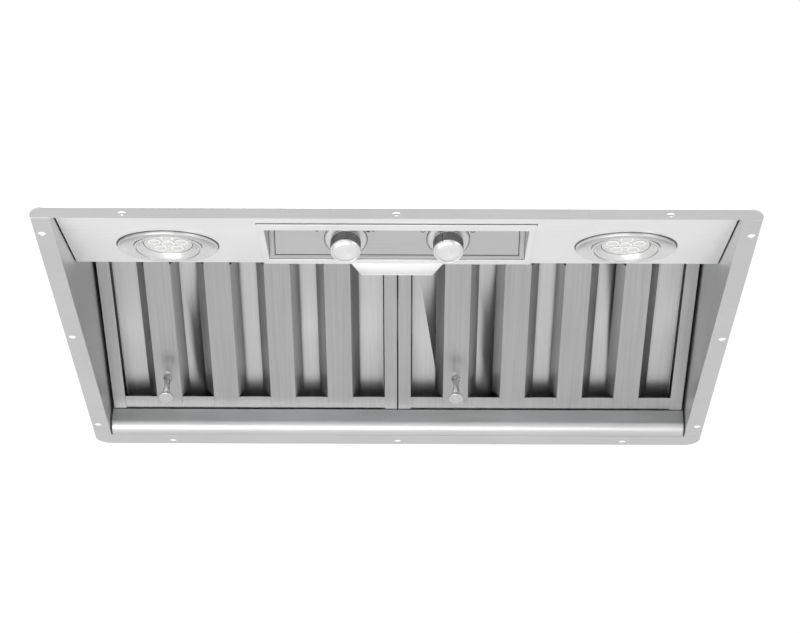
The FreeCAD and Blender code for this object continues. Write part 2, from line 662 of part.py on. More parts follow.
def rivet_places():
    """The four corners of the frame's upper side, where its rails are riveted."""
    x_places = ("strip_width/4", "filter_width - strip_width/4")
    y_places = ("-end_lip/2", "end_lip*1.6 - filter_length")
    return [(x, y, "filter_thickness") for x in x_places for y in y_places]


def rivet(x, y, z):
    """A domed rivet whose shank fills its hole."""
    ball = doc.addObject("Part::Sphere", "dome")
    bind(ball, Radius="rivet_radius")
    head = shared(ball, rod("2*rivet_radius", "2*rivet_radius"))
    stem = rod("rivet_radius/2", "2*filter_sheet", z="-2*filter_sheet")
    return put(fuse(head, stem), x, y, z)


def pull_knob(label, frame):
    """The trumpet-shaped pull, turned from bar, with a blind hole for its screw."""
    body = turned(label, [
        ("screw_shank", "0"), ("pull_base", "0"), ("pull_base", "-2"), ("pull_waist + 0.6", "-6"),
        ("pull_waist", "-pull_length*0.4"), ("pull_waist + 0.7", "-pull_length*0.6"),
        ("pull_face*0.6", "-pull_length*0.78"), ("pull_face*0.94", "-pull_length*0.92"),
        ("pull_face", "1.2 - pull_length"), ("pull_face - 0.8", "-pull_length"), ("0", "-pull_length"),
        ("0", "-10"), ("screw_shank", "-10")])
    node(label, body, frame)


def baffle_filter(name, x):
    """One removable baffle filter, measured forward (-Y) from its rear lower edge."""
    frame = (x, "filter_rear", "filter_drop", "-filter_slope")
    filter_frame(f"{name}_filter_frame", frame)
    lower = [f"{index}*filter_pitch" for index in range(1, 5)]
    upper = [f"{index}*filter_pitch + filter_pitch/2" for index in range(5)]
    middle = "-filter_length/2"
    flats = baffle_row(f"{name}_lower", lower, "strip_width", "strip_flank", "0", "strip_height",
                       "filter_length - 2*end_lip - 2", middle)
    sketch = blank_sketch(flats, "XZ_Plane", f"-({middle})")
    for centre in lower:
        half = "strip_width/2"
        polygon(sketch, [(f"{centre} - {half}", "0"), (f"{centre} + {half}", "0"),
                         (f"{centre} + {half}", "filter_sheet"), (f"{centre} - {half}", "filter_sheet")])
    pad(flats, sketch, "filter_length - 2*strip_end")
    bore = rod("screw_hole", "4*filter_sheet", "filter_pitch", "-pull_back", "-2*filter_sheet")
    node(f"{name}_filter_lower_baffles", cut(flats, bore), frame)
    hats = baffle_row(f"{name}_upper", upper, "upper_width", "0", "upper_level", "upper_level - upper_leg",
                      "filter_length - 2*filter_sheet", middle)
    node(f"{name}_filter_upper_baffles", fuse(hats), frame)
    node(f"{name}_filter_rivets", group(*[rivet(*place) for place in rivet_places()]), frame)
    y = "(filter_rear - pull_back*cos(filter_slope))"
    z = "(filter_drop + pull_back*sin(filter_slope))"
    knob_frame = (f"{x} + filter_pitch", y, z, "-filter_slope")
    pull_knob(f"{name}_pull_knob", knob_frame)
    head = rod("screw_head", "screw_head_height", z="filter_sheet")
    stem = rod("screw_shank", "9 + filter_sheet", z="-9")
    node(f"{name}_knob_screw", fuse(head, stem), knob_frame)


def filter_front_rail():
    """The pocket that both filters' front ends slide up into."""
    width = ("0.1 - inner_x", "inner_x - 0.1")
    low, high = "-(rest_gap + sheet_gauge)", "filter_thickness + rest_gap + sheet_gauge"
    back = "-(filter_length + slide_room)"
    mouth = "pocket_grip - filter_length"
    rail = cut(block(width, (f"{back} - filter_sheet", mouth), (low, high)),
               block(("-inner_x - 1", "inner_x + 1"), (back, "0"), ("-rest_gap", "filter_thickness + rest_gap")))
    node("filter_front_rail", rail, ("0", "filter_rear", "filter_drop", "-filter_slope"))


def filters():
    baffle_filter("left", "-(filter_width + filter_gap/2)")
    baffle_filter("right", "filter_gap/2")
    filter_front_rail()


# ----------------------------------------------------------------------------------- grease trough
QUARTER = Rotation(Vector(0, -1, 0), Vector(0, 0, -1), Vector(1, 0, 0), "ZXY")


def quarter(radius, length, x, y, z):
    """A quarter round along X that fills the space in front of and below its centre line."""
    item = rod(radius, length, sweep=90)
    item.Placement = Placement(Vector(), QUARTER)
    bind(item, Placement__Base__x=x, Placement__Base__y=y, Placement__Base__z=z)
    return item


def grease_trough():
    """The gutter under the filters' rear ends, rounded at its lower front edge."""
    half = "(inner_x - trough_end_gap - sheet_gauge)"
    width = (f"-{half}", half)
    floor, rear = "rest_gap", "inner_rear - rest_gap"
    centre_y, centre_z = "trough_front + trough_round", f"{floor} + trough_round"
    bend = cut(quarter("trough_round", f"2*{half}", f"-{half}", centre_y, centre_z),
               quarter("trough_round - sheet_gauge", f"2*{half}", f"-{half}", centre_y, centre_z))
    node("grease_trough", fuse(
        bend,
        block(width, ("trough_front", "trough_front + sheet_gauge"), (centre_z, "trough_lip")),
        block(width, (centre_y, rear), (floor, f"{floor} + sheet_gauge")),
        block(width, (f"{rear} - sheet_gauge", rear), (floor, "trough_rear_wall"))))
    caps = []
    for start in (f"-{half} - sheet_gauge", half):
        across = (start, f"{start} + sheet_gauge")
        caps.append(fuse(
            quarter("trough_round", "sheet_gauge", start, centre_y, centre_z),
            block(across, ("trough_front", rear), (centre_z, "trough_lip")),
            block(across, (centre_y, rear), (floor, centre_z))))
    node("trough_end_caps", group(*caps))


# ------------------------------------------------------------------------------------------ blower
def volute_solid(inset, start, length):
    """The snail-shaped outline as three quarter rounds of growing radius and a straight outlet.

    Below the tongue the outlet is open to the first quarter.
    """
    step = "volute_step"
    top = "shell_height - sheet_gauge" if inset == "0" else "shell_height"
    y, z = "blower_depth", "blower_axis"
    pieces = []
    corners = ((f"{y} - {step}/2", f"{z} - {step}/2", "volute_radius", 90),
               (f"{y} + {step}/2", f"{z} - {step}/2", f"volute_radius + {step}", 0),
               (f"{y} + {step}/2", f"{z} + {step}/2", f"volute_radius + 2*{step}", -90))
    for centre_y, centre_z, radius, angle in corners:
        item = rod(f"{radius} - {inset}", length, sweep=90)
        spin = Rotation(Vector(1, 0, 0), -angle)
        item.Placement = Placement(Vector(), spin.multiply(QUARTER))
        bind(item, Placement__Base__x=start, Placement__Base__y=centre_y, Placement__Base__z=centre_z)
        pieces.append(item)
    across = (start, f"{start} + {length}")
    pieces.append(block(across, (f"{y} - {step}/2 + {inset}", f"{y} + volute_right - {inset}"), (f"{z} + {step}/2", top)))
    tongue = f"{z} - {step}/2 + volute_radius - {inset}"
    pieces.append(block(across, (f"{y} - {step}/2 - 0.01", f"{y} + {step}/2"), (f"{z} - {step}/2 - 0.01", tongue)))
    return fuse(*pieces)


def scroll_case():
    """The scroll: a wrap between two side plates, an inlet ring in each, and a lip under the lid."""
    half = "blower_width/2"
    start = f"-{half}"
    y, z = "blower_depth", "blower_axis"
    wrap = cut(volute_solid("0", start, "blower_width"), volute_solid("sheet_gauge", f"{start} - 1", "blower_width + 2"))
    node("scroll_wrap", wrap)
    plates, rings = [], []
    for sign in SIDES.values():
        across = sorted((f"{sign}*{half}", f"{sign}*({half} + sheet_gauge)"), key=size)
        plates.append(cut(volute_solid("0", across[0], "sheet_gauge"),
                          rod("inlet_radius + sheet_gauge", "6*sheet_gauge", f"{across[0]} - 2*sheet_gauge", y, z, "right")))
        outward = "right" if sign == "1" else "left"
        seat = f"{sign}*({half} + sheet_gauge)"
        flange = tube("inlet_flare + 1", "inlet_radius + sheet_gauge", "sheet_gauge")
        funnel = cut(taper("inlet_radius + sheet_gauge", "inlet_flare", "inlet_reach"),
                     taper("inlet_radius", "inlet_flare - sheet_gauge", "inlet_reach + 0.01", z="-0.005"))
        rings.append(put(fuse(flange, funnel), seat, y, z, outward))
    node("scroll_sides", group(*plates))
    node("inlet_rings", group(*rings))
    level = ("shell_height - 2*sheet_gauge - 0.1", "shell_height - sheet_gauge - 0.1")
    side = f"{half} + sheet_gauge + 0.1"
    node("outlet_flange", cut(
        duct_block("-outlet_lip", level),
        block((f"-({side})", side), (f"{y} - volute_step/2 - 0.1", f"{y} + volute_right + 0.1"),
              ("shell_height - 6*sheet_gauge", "shell_height"))))


def blower_wheel():
    """A double-inlet wheel: a centre disc and hub, curved blades round it and a ring at each end."""
    body = new_body("blower_wheel")
    for radius, width in (("wheel_radius - 3", "1.6"), ("3*shaft_radius", "0.2*wheel_width")):
        sketch = blank_sketch(body, "XY_Plane")
        circle(sketch, radius)
        pad(body, sketch, width)
    doc.recompute()
    blade = blank_sketch(body, "XY_Plane")
    inner, lean = "wheel_radius - blade_depth", "blade_depth/2"
    polygon(blade, [(inner, "0"), ("wheel_radius - 0.6", lean), ("wheel_radius - 0.6", f"{lean} + blade_gauge"),
                    (inner, "blade_gauge")])
    blade_pad = pad(body, blade, "wheel_width")
    doc.recompute()
    ring_of_blades = body.newObject("PartDesign::PolarPattern", "blades")
    ring_of_blades.Originals = [blade_pad]
    ring_of_blades.Axis = (blade, ["N_Axis"])
    ring_of_blades.Angle = 360
    ring_of_blades.Occurrences = 32
    body.Tip = ring_of_blades
    doc.recompute()
    for sign in SIDES.values():
        ring = blank_sketch(body, "XY_Plane", f"{sign}*(wheel_width/2 - 1.5)")
        circle(ring, "wheel_radius")
        circle(ring, "wheel_radius - blade_depth/2")
        pad(body, ring, "3")
    doc.recompute()
    hole = blank_sketch(body, "XY_Plane")
    circle(hole, "shaft_radius")
    pad(body, hole, "wheel_width", "PartDesign::Pocket")
    put(body, "0", "blower_depth", "blower_axis", "right")
    node("blower_wheel", body)


def motor():
    """The motor on its three-armed bracket outside the right-hand inlet, and the wheel's shaft."""
    y, z = "blower_depth", "blower_axis"
    seat = "blower_width/2 + sheet_gauge"
    face = f"{seat} + motor_stand"
    arms = [tube("motor_radius*0.6", "3*shaft_radius", "bracket_gauge")]
    for index in range(3):
        arm = block(("2.6*shaft_radius", "bracket_reach + 5"), ("-6", "6"), ("0", "bracket_gauge"))
        post = rod("4", "motor_stand - bracket_gauge", "bracket_reach + 1.5", "0", "bracket_gauge - motor_stand")
        foot = fuse(arm, post)
        foot.Placement = Placement(Vector(), Rotation(Vector(0, 0, 1), 60 + 120 * index))
        arms.append(foot)
    node("motor_bracket", put(fuse(*arms), f"{face} - bracket_gauge", y, z, "right"))
    case = fuse(rod("motor_radius", "motor_length - 8"), taper("motor_radius", "motor_radius - 6", "8", z="motor_length - 8"))
    bore = rod("shaft_radius + shaft_play", "motor_length - 8 + 1", z="-1")
    node("blower_motor", put(cut(case, bore), face, y, z, "right"))
    start = "-0.1*wheel_width - 4"
    node("motor_shaft", fuse(rod("shaft_radius", f"{face} + motor_length - 10 - ({start})", start, y, z, "right")))


# ------------------------------------------------------------------------------- duct and dampers
def duct_block(inset, level):
    """A block on the duct's outline, moved in by inset, between two levels."""
    x = f"(duct_width/2 - ({inset}))"
    y = f"(duct_depth/2 - ({inset}))"
    return block((f"-{x}", x), (f"duct_mid - {y}", f"duct_mid + {y}"), level)


def duct_collar():
    """The rectangular collar for the duct, with a ledge inside that the flaps close on."""
    base, through = "shell_height", ("shell_height - 1", "shell_height + 2*duct_height")
    ledge = "shell_height + stop_height"
    sleeve = duct_block("0", (base, "shell_height + duct_height"))
    lip = duct_block("-duct_lip", (base, "shell_height + sheet_gauge"))
    tube_part = cut(fuse(sleeve, lip), duct_block("sheet_gauge", through))
    stop = cut(duct_block("sheet_gauge/2", (ledge, f"{ledge} + sheet_gauge")), duct_block("sheet_gauge + stop_width", through))
    pin_hole = rod("pin_radius", "duct_width + 4", "-duct_width/2 - 2", "duct_mid", "flap_axis", "right")
    node("duct_collar", cut(fuse(tube_part, stop), pin_hole))
    node("damper_pin", fuse(rod("pin_radius", "duct_width - 0.4", "0.2 - duct_width/2", "duct_mid", "flap_axis", "right")))


KNUCKLES = {"-1": ("-0.8", "0.1"), "1": ("-0.35", "0.55")}


def damper_flap(label, side):
    """A flap with two knuckles that turn on the shared pin; side is -1 at the front and 1 at the rear."""
    outer = "pin_radius + pin_play + knuckle_wall"
    half = "duct_width/2 - sheet_gauge - flap_gap"
    reach = sorted((f"{side}*({outer} + 0.5)", f"{side}*(duct_depth/2 - sheet_gauge - flap_gap)"), key=size)
    level = ("-flap_gauge/2", "flap_gauge/2")
    pieces = [block((f"-({half})", half), reach, level)]
    length = "0.23*duct_width/2"
    for start in KNUCKLES[side]:
        low = f"{start}*duct_width/2"
        pieces.append(rod(outer, length, low, "0", "0", "right"))
        pieces.append(block((low, f"{low} + {length}"), sorted(("0", f"{side}*({outer} + 1)"), key=size), level))
    bore = rod("pin_radius + pin_play", "duct_width", "-duct_width/2", "0", "0", "right")
    node(label, put(cut(fuse(*pieces), bore), "0", "duct_mid", "flap_axis"))


# -------------------------------------------------------------------------------------- supply box
def gland_place():
    return "box_length/2 - box_left", "box_front + box_width/2"


def supply_box():
    """The wiring box under the lid, its cover and the gland that the supply lead enters by."""
    top = "shell_height - sheet_gauge"
    low = f"{top} - box_height"
    x, y = ("-box_left", "box_length - box_left"), ("box_front", "box_front + box_width")
    wall = "sheet_gauge"
    outer = block(x, y, (low, top))
    hollow = block((f"{x[0]} + {wall}", f"{x[1]} - {wall}"), (f"{y[0]} + {wall}", f"{y[1]} - {wall}"),
                   (f"{low} - 1", f"{top} - {wall}"))
    entry = rod("gland_radius + rest_gap", "6*sheet_gauge", *gland_place(), f"{top} - 3*sheet_gauge")
    node("junction_box", cut(outer, hollow, entry))
    node("junction_box_cover", fuse(
        block((f"{x[0]} - 2", f"{x[1]} + 2"), (f"{y[0]} - 2", f"{y[1]} + 2"), (f"{low} - {wall}", low))))
    gland = fuse(rod("gland_radius", "4*sheet_gauge + 6", *gland_place(), f"{top} - 2*sheet_gauge - 4"),
                 rod("gland_flange", "5", *gland_place(), "shell_height"),
                 taper("gland_flange - 2", "gland_radius - 1", "gland_height - 5", *gland_place(), "shell_height + 5"))
    node("cable_gland", cut(gland, rod("gland_bore", "60", *gland_place(), "shell_height - 30")))


# -------------------------------------------------------------------------------- build and export
def check_objects():
    """Stop if any object failed or any sub-part has no valid solid."""
    failed = [item.Name for item in doc.Objects if "Invalid" in item.State or "Error" in item.State]
    if failed:
        raise RuntimeError(f"these objects did not compute: {failed}")
    for item in NODES:
        if item.Shape.isNull() or not item.Shape.isValid() or not item.Shape.Solids:
            raise RuntimeError(f"{item.Label} has no valid solid")


def build():
    shell()
    light_panel()
    light_box_wall()
    controls()
    lights()
    filters()
    grease_trough()
    scroll_case()
    blower_wheel()
    motor()
    duct_collar()
    damper_flap("front_damper_flap", "-1")
    damper_flap("rear_damper_flap", "1")
    supply_box()
    doc.recompute()
    check_objects()


build()
os.makedirs("parts", exist_ok=True)
for item in NODES:
    item.Shape.exportStep(f"parts/{item.Label}.step")
print(f"{len(NODES)} sub-parts written")
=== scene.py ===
"""Looks of the range hood liner: metals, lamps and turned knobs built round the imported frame.

Metres throughout, in the frame's own axes: +X to the right, +Y to the rear, +Z up.
"""
import json
from math import cos, pi, radians, sin, tau

import bmesh
import bpy
from mathutils import Matrix, Vector

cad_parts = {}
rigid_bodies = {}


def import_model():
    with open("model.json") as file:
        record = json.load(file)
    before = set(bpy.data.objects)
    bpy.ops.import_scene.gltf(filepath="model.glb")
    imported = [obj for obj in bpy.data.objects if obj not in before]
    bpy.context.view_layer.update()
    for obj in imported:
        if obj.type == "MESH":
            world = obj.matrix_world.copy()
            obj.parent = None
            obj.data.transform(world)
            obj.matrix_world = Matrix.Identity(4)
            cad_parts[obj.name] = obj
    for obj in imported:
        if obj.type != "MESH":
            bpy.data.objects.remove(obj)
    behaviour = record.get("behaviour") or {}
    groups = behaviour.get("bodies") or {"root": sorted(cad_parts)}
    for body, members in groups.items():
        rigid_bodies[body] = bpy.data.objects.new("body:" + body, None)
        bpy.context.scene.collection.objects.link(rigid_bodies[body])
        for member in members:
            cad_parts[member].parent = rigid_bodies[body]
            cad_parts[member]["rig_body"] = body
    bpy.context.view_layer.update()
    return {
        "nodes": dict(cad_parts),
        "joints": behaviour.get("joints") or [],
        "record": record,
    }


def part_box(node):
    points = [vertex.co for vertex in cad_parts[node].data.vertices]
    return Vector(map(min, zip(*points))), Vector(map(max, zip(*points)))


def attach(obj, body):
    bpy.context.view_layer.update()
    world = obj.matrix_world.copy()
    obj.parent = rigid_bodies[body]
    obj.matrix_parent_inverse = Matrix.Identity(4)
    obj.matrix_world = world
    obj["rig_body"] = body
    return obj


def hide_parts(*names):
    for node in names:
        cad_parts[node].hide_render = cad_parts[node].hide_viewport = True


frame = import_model()

MM = 0.001
PANEL_SLOPE = radians(11.3)
LAMP_TILT = radians(6)
SIDES = ("left", "right")
NODES = frame["nodes"]
JOINTS = {joint["name"]: joint for joint in frame["joints"]}
SLOT_OF = {part["node"]: part["material_slot"] for part in frame["record"]["subparts"]}


# ---------------------------------------------------------------------------------------- materials
def colour(code):
    """An sRGB hex value as linear RGBA."""
    values = [int(code[i:i + 2], 16) / 255 for i in (0, 2, 4)]
    linear = [v / 12.92 if v <= 0.04045 else ((v + 0.055) / 1.055) ** 2.4 for v in values]
    return (*linear, 1.0)


def add(tree, kind, inputs=None, **settings):
    """Add one node: settings are its properties, inputs its sockets' values or the sockets they link from."""
    made = tree.nodes.new(kind)
    for name, value in settings.items():
        setattr(made, name, value)
    for name, value in (inputs or {}).items():
        if isinstance(value, bpy.types.NodeSocket):
            tree.links.new(value, made.inputs[name])
        else:
            made.inputs[name].default_value = value
    return made


def new_material(name):
    """An empty material with its shader, its output and its object coordinates."""
    made = bpy.data.materials.new(name)
    made.use_nodes = True
    tree = made.node_tree
    tree.nodes.clear()
    shader = add(tree, "ShaderNodeBsdfPrincipled")
    add(tree, "ShaderNodeOutputMaterial", {"Surface": shader.outputs["BSDF"]})
    place = add(tree, "ShaderNodeTexCoord").outputs["Object"]
    return made, tree, shader, place


def shade_between(tree, factor, dark, light):
    """A colour socket that runs from dark to light with the factor."""
    ramp = add(tree, "ShaderNodeValToRGB", {"Fac": factor})
    ramp.color_ramp.elements[0].position = 0.3
    ramp.color_ramp.elements[0].color = colour(dark)
    ramp.color_ramp.elements[1].position = 0.7
    ramp.color_ramp.elements[1].color = colour(light)
    return ramp.outputs["Color"]


def spread(tree, factor, low, high):
    """A value socket that runs from low to high with the factor."""
    made = add(tree, "ShaderNodeMapRange", {"Value": factor, "From Min": 0.3, "From Max": 0.7,
                                            "To Min": low, "To Max": high})
    return made.outputs["Result"]


def rolled_steel(name, dark, light, rough, grain_mm, axis, directional, depth_mm):
    """Stainless sheet whose fine grain runs along one axis: streaks in its shine and a faint relief.

    rough is (smoothest, roughest); grain_mm is a streak's (length, width), drawn coarse enough to show.
    """
    made, tree, shader, place = new_material(name)
    long, wide = (1 / (side * MM) for side in grain_mm)
    scale = {"X": (long, wide, wide), "Y": (wide, long, long)}[axis]
    stretched = add(tree, "ShaderNodeMapping", {"Vector": place, "Scale": scale}).outputs["Vector"]
    grain = add(tree, "ShaderNodeTexNoise", {"Vector": stretched, "Scale": 1.0, "Detail": 6.0,
                                             "Roughness": 0.62})
    clouds = add(tree, "ShaderNodeTexNoise", {"Vector": place, "Scale": 9.0, "Detail": 3.0})
    both = add(tree, "ShaderNodeMix", {"Factor": 0.3, "A": grain.outputs["Fac"], "B": clouds.outputs["Fac"]})
    mixed = both.outputs["Result"]
    relief = add(tree, "ShaderNodeBump", {"Height": grain.outputs["Fac"], "Strength": 0.35,
                                          "Distance": depth_mm * MM})
    tangent = add(tree, "ShaderNodeTangent", direction_type="RADIAL", axis=axis)
    tree.links.new(shade_between(tree, mixed, dark, light), shader.inputs["Base Color"])
    tree.links.new(spread(tree, mixed, *rough), shader.inputs["Roughness"])
    tree.links.new(relief.outputs["Normal"], shader.inputs["Normal"])
    tree.links.new(tangent.outputs["Tangent"], shader.inputs["Tangent"])
    shader.inputs["Metallic"].default_value = 1.0
    shader.inputs["Anisotropic"].default_value = directional
    return made


def turned_metal(name, dark, light, rough, ring_mm, directional):
    """Metal turned on a lathe about its own Z axis: the tool's rings, and a fan-shaped shine."""
    made, tree, shader, place = new_material(name)
    apart = add(tree, "ShaderNodeSeparateXYZ", {"Vector": place})
    flat = add(tree, "ShaderNodeCombineXYZ", {"X": apart.outputs["X"], "Y": apart.outputs["Y"]})
    radius = add(tree, "ShaderNodeVectorMath", {0: flat.outputs["Vector"]}, operation="LENGTH")
    rings = add(tree, "ShaderNodeTexNoise",
                {"W": radius.outputs["Value"], "Scale": 1 / (ring_mm * MM), "Detail": 3.0},
                noise_dimensions="1D")
    relief = add(tree, "ShaderNodeBump", {"Height": rings.outputs["Fac"], "Strength": 0.3,
                                          "Distance": 0.02 * MM})
    tangent = add(tree, "ShaderNodeTangent", direction_type="RADIAL", axis="Z")
    tree.links.new(shade_between(tree, rings.outputs["Fac"], dark, light), shader.inputs["Base Color"])
    tree.links.new(spread(tree, rings.outputs["Fac"], *rough), shader.inputs["Roughness"])
    tree.links.new(relief.outputs["Normal"], shader.inputs["Normal"])
    tree.links.new(tangent.outputs["Tangent"], shader.inputs["Tangent"])
    shader.inputs["Metallic"].default_value = 1.0
    shader.inputs["Anisotropic"].default_value = directional
    shader.inputs["Anisotropic Rotation"].default_value = 0.25
    return made


def speckled(name, dark, light, rough, patch_mm, metallic=0.0, depth_mm=0.01):
    """A moulded, cast, painted or fired surface: soft patches of tone and a fine pebbled relief."""
    made, tree, shader, place = new_material(name)
    patches = add(tree, "ShaderNodeTexNoise", {"Vector": place, "Scale": 1 / (patch_mm * MM), "Detail": 5.0})
    pebbles = add(tree, "ShaderNodeTexNoise", {"Vector": place, "Scale": 6 / (patch_mm * MM), "Detail": 2.0})
    relief = add(tree, "ShaderNodeBump", {"Height": pebbles.outputs["Fac"], "Strength": 0.5,
                                          "Distance": depth_mm * MM})
    tree.links.new(shade_between(tree, patches.outputs["Fac"], dark, light), shader.inputs["Base Color"])
    tree.links.new(spread(tree, patches.outputs["Fac"], *rough), shader.inputs["Roughness"])
    tree.links.new(relief.outputs["Normal"], shader.inputs["Normal"])
    shader.inputs["Metallic"].default_value = metallic
    return made


def galvanised_steel():
    """Hot-dipped zinc on steel: flat crystals about 9 mm across, each with its own tone and shine."""
    made, tree, shader, place = new_material("galvanised steel, hot dipped")
    crystals = add(tree, "ShaderNodeTexVoronoi", {"Vector": place, "Scale": 1 / (9 * MM), "Randomness": 1.0})
    tone = add(tree, "ShaderNodeSeparateColor", {"Color": crystals.outputs["Color"]}).outputs["Red"]
    frost = add(tree, "ShaderNodeTexNoise", {"Vector": place, "Scale": 1 / (2 * MM), "Detail": 4.0})
    both = add(tree, "ShaderNodeMix", {"Factor": 0.4, "A": tone, "B": frost.outputs["Fac"]}).outputs["Result"]
    relief = add(tree, "ShaderNodeBump", {"Height": both, "Strength": 0.2, "Distance": 0.02 * MM})
    tree.links.new(shade_between(tree, both, "a9adb0", "c3c6c8"), shader.inputs["Base Color"])
    tree.links.new(spread(tree, both, 0.34, 0.5), shader.inputs["Roughness"])
    tree.links.new(relief.outputs["Normal"], shader.inputs["Normal"])
    shader.inputs["Metallic"].default_value = 1.0
    return made


FINISHES = {
    # rolled sheet of the shell: long faint streaks and a soft, slightly cloudy shine
    "satin_stainless": rolled_steel("stainless sheet, satin rolled", "c8c8c8", "d6d6d6", (0.3, 0.42),
                                    (60, 1.6), "X", 0.45, 0.02),
    # brushed panel and bezel: finer, closer streaks and a more matt shine; the base is lifted near white as
    # painted light, so the sheet reads as pale as the lit panel
    "brushed_stainless": rolled_steel("stainless sheet, fine brushed", "e9e9e9", "f4f4f4", (0.36, 0.46),
                                      (90, 1.1), "X", 0.6, 0.02),
    # pressed filter strips: grain along each strip, with reflections that stay blurred
    "bright_stainless": rolled_steel("stainless sheet, bright rolled", "a8a8a8", "bcbcbc", (0.26, 0.38),
                                     (160, 2.4), "Y", 0.3, 0.01),
    # turned knobs: concentric tool rings and a fan-shaped highlight on the face
    "turned_aluminium": turned_metal("aluminium, turned and spun", "e0e0e0", "f0f0f0", (0.2, 0.3), 0.9, 0.75),
    # pulls and lamp rings: almost mirror bright, with very faint rings
    "polished_steel": turned_metal("steel, turned and polished", "c4c4c4", "d2d2d2", (0.06, 0.13), 1.2, 0.3),
    # spun trims: softer than the rings, so the dish shades evenly
    "lamp_trim_steel": turned_metal("steel, spun and satin finished", "dadada", "e8e8e8", (0.24, 0.34),
                                    0.9, 0.4),
    # lamp lenses: milky moulded plastic with a slight gloss
    "lamp_lens": speckled("polycarbonate, moulded clear white", "c9c9c6", "d8d8d6", (0.12, 0.2), 6),
    # cover, duct collar and supply box: flat zinc crystals of differing tone
    "galvanised_steel": galvanised_steel(),
    # switches and gland: dark moulded plastic with a fine pebble
    "black_nylon": speckled("nylon, moulded black", "17181a", "222326", (0.42, 0.56), 4),
    # lamp holders: chalky fired ceramic, off-white
    "lamp_ceramic": speckled("steatite, pressed and fired", "dcd9d0", "ebe8e0", (0.5, 0.66), 5),
    # blower motor: thick glossy black enamel with a little orange peel
    "motor_enamel": speckled("steel, black enamelled", "141517", "1f2023", (0.24, 0.36), 12),
    # blower wheel: darkened zinc, dull and mottled
    "fan_wheel": speckled("steel sheet, zinc coated and darkened", "43464a", "5a5e62", (0.36, 0.5), 8,
                          metallic=1.0),
}
# the recessed filter strips: drawn duller and paler, so that they read apart from the front strips
RECESSED_SHEET = rolled_steel("stainless sheet, dull rolled", "c2c2c2", "d2d2d2", (0.42, 0.52),
                              (160, 2.4), "Y", 0.3, 0.01)
# the plate behind the knobs: mid grey satin, darker than the brushed bezel round it
PLATE_SHEET = rolled_steel("stainless sheet, grey satin plate", "b2b2b2", "bebebe", (0.34, 0.44),
                           (90, 1.1), "X", 0.5, 0.02)
# knurled sides: a darker copy of the turned aluminium, painted shade for the light the cut diamonds trap, so
# the band reads darker than the turned face
KNURL_SHADED = turned_metal("aluminium, cross knurled", "7e7e7e", "989898", (0.3, 0.42), 0.9, 0.2)
# rims moulded round each lens cell: clear plastic, glossier than the lens, coloured white as painted
# highlight for the bright outline each rim's curve catches
RIM_HIGHLIGHT_WHITE = speckled("polycarbonate rim, white as painted highlight", "f4f4f2", "ffffff", (0.06, 0.12), 5)
# the plate's printed dots and rings, and the dark lines and strips round the plate, bezel, knob rings and
# lamp trims that are painted shade for the gaps there: dark paint with a low sheen
PRINT_AND_SHADE_FILL = speckled("dark grey fill, print and painted shade", "2b2c2e", "3a3b3d", (0.35, 0.5), 3)

for node_name, shape in NODES.items():
    shape.data.materials.clear()
    shape.data.materials.append(FINISHES[SLOT_OF[node_name]])


# -------------------------------------------------------------------------------------- mesh makers
def new_piece(name, mesh, replaced, place=None, sharp=radians(35), finish=None):
    """Finish one piece: it stands for a CAD node, rides on that node's body and takes its material slot."""
    mesh_data = bpy.data.meshes.new(name)
    mesh.to_mesh(mesh_data)
    mesh.free()
    piece = bpy.data.objects.new(name, mesh_data)
    bpy.context.scene.collection.objects.link(piece)
    piece.matrix_world = place or Matrix.Identity(4)
    mesh_data.materials.append(finish or FINISHES[SLOT_OF[replaced]])
    mesh_data.shade_smooth()
    mesh_data.set_sharp_from_angle(angle=sharp)
    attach(piece, NODES[replaced]["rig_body"])
    return piece


def stand_for(name, mesh, replaced, **options):
    piece = new_piece(name, mesh, replaced, **options)
    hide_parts(replaced)
    return piece


def facing(point, outward):
    """A turned piece's place: its origin at point and its +Z along outward, its X kept level."""
    z = Vector(outward).normalized()
    x = Vector((1, 0, 0))
    y = z.cross(x)
    turn = Matrix((x, y, z)).transposed().to_4x4()
    return Matrix.Translation(point) @ turn


def end_centre(node, direction):
    """The middle of a turned node's far end in a direction."""
    direction = Vector(direction).normalized()
    points = {tuple(round(c, 6) for c in v.co) for v in NODES[node].data.vertices}
    reach = max(Vector(p).dot(direction) for p in points)
    rim = [Vector(p) for p in points if Vector(p).dot(direction) > reach - 0.02 * MM]
    return sum(rim, Vector()) / len(rim)


def smooth_line(points, steps=5):
    """A smooth line through outline points, curved evenly between them."""
    line = []
    for i in range(len(points) - 1):
        a, b, c, d = (Vector(points[max(0, min(len(points) - 1, i + k))]) for k in (-1, 0, 1, 2))
        for step in range(steps):
            t = step / steps
            line.append(0.5 * (2 * b + (c - a) * t + (2 * a - 5 * b + 4 * c - d) * t * t
                               + (3 * b - a - 3 * c + d) * t ** 3))
    line.append(Vector(points[-1]))
    return [(p.x, p.y) for p in line]


def lathe(outline, around=96, ripple=None):
    """A turned mesh from (radius, height) points in mm; ripple(angle, radius, height) gives a new radius."""
    mesh = bmesh.new()
    rings = []
    for radius, height in outline:
        if radius < 1e-6:
            rings.append([mesh.verts.new((0, 0, height * MM))])
            continue
        ring = []
        for i in range(around):
            angle = tau * i / around
            reach = ripple(angle, radius, height) if ripple else radius
            ring.append(mesh.verts.new((reach * MM * cos(angle), reach * MM * sin(angle), height * MM)))
        rings.append(ring)
    for lower, upper in zip(rings, rings[1:]):
        for i in range(around):
            j = (i + 1) % around
            corners = [lower[i % len(lower)], lower[j % len(lower)],
                       upper[j % len(upper)], upper[i % len(upper)]]
            unique = list(dict.fromkeys(corners))
            if len(unique) > 2:
                mesh.faces.new(unique)
    bmesh.ops.recalc_face_normals(mesh, faces=mesh.faces)
    return mesh


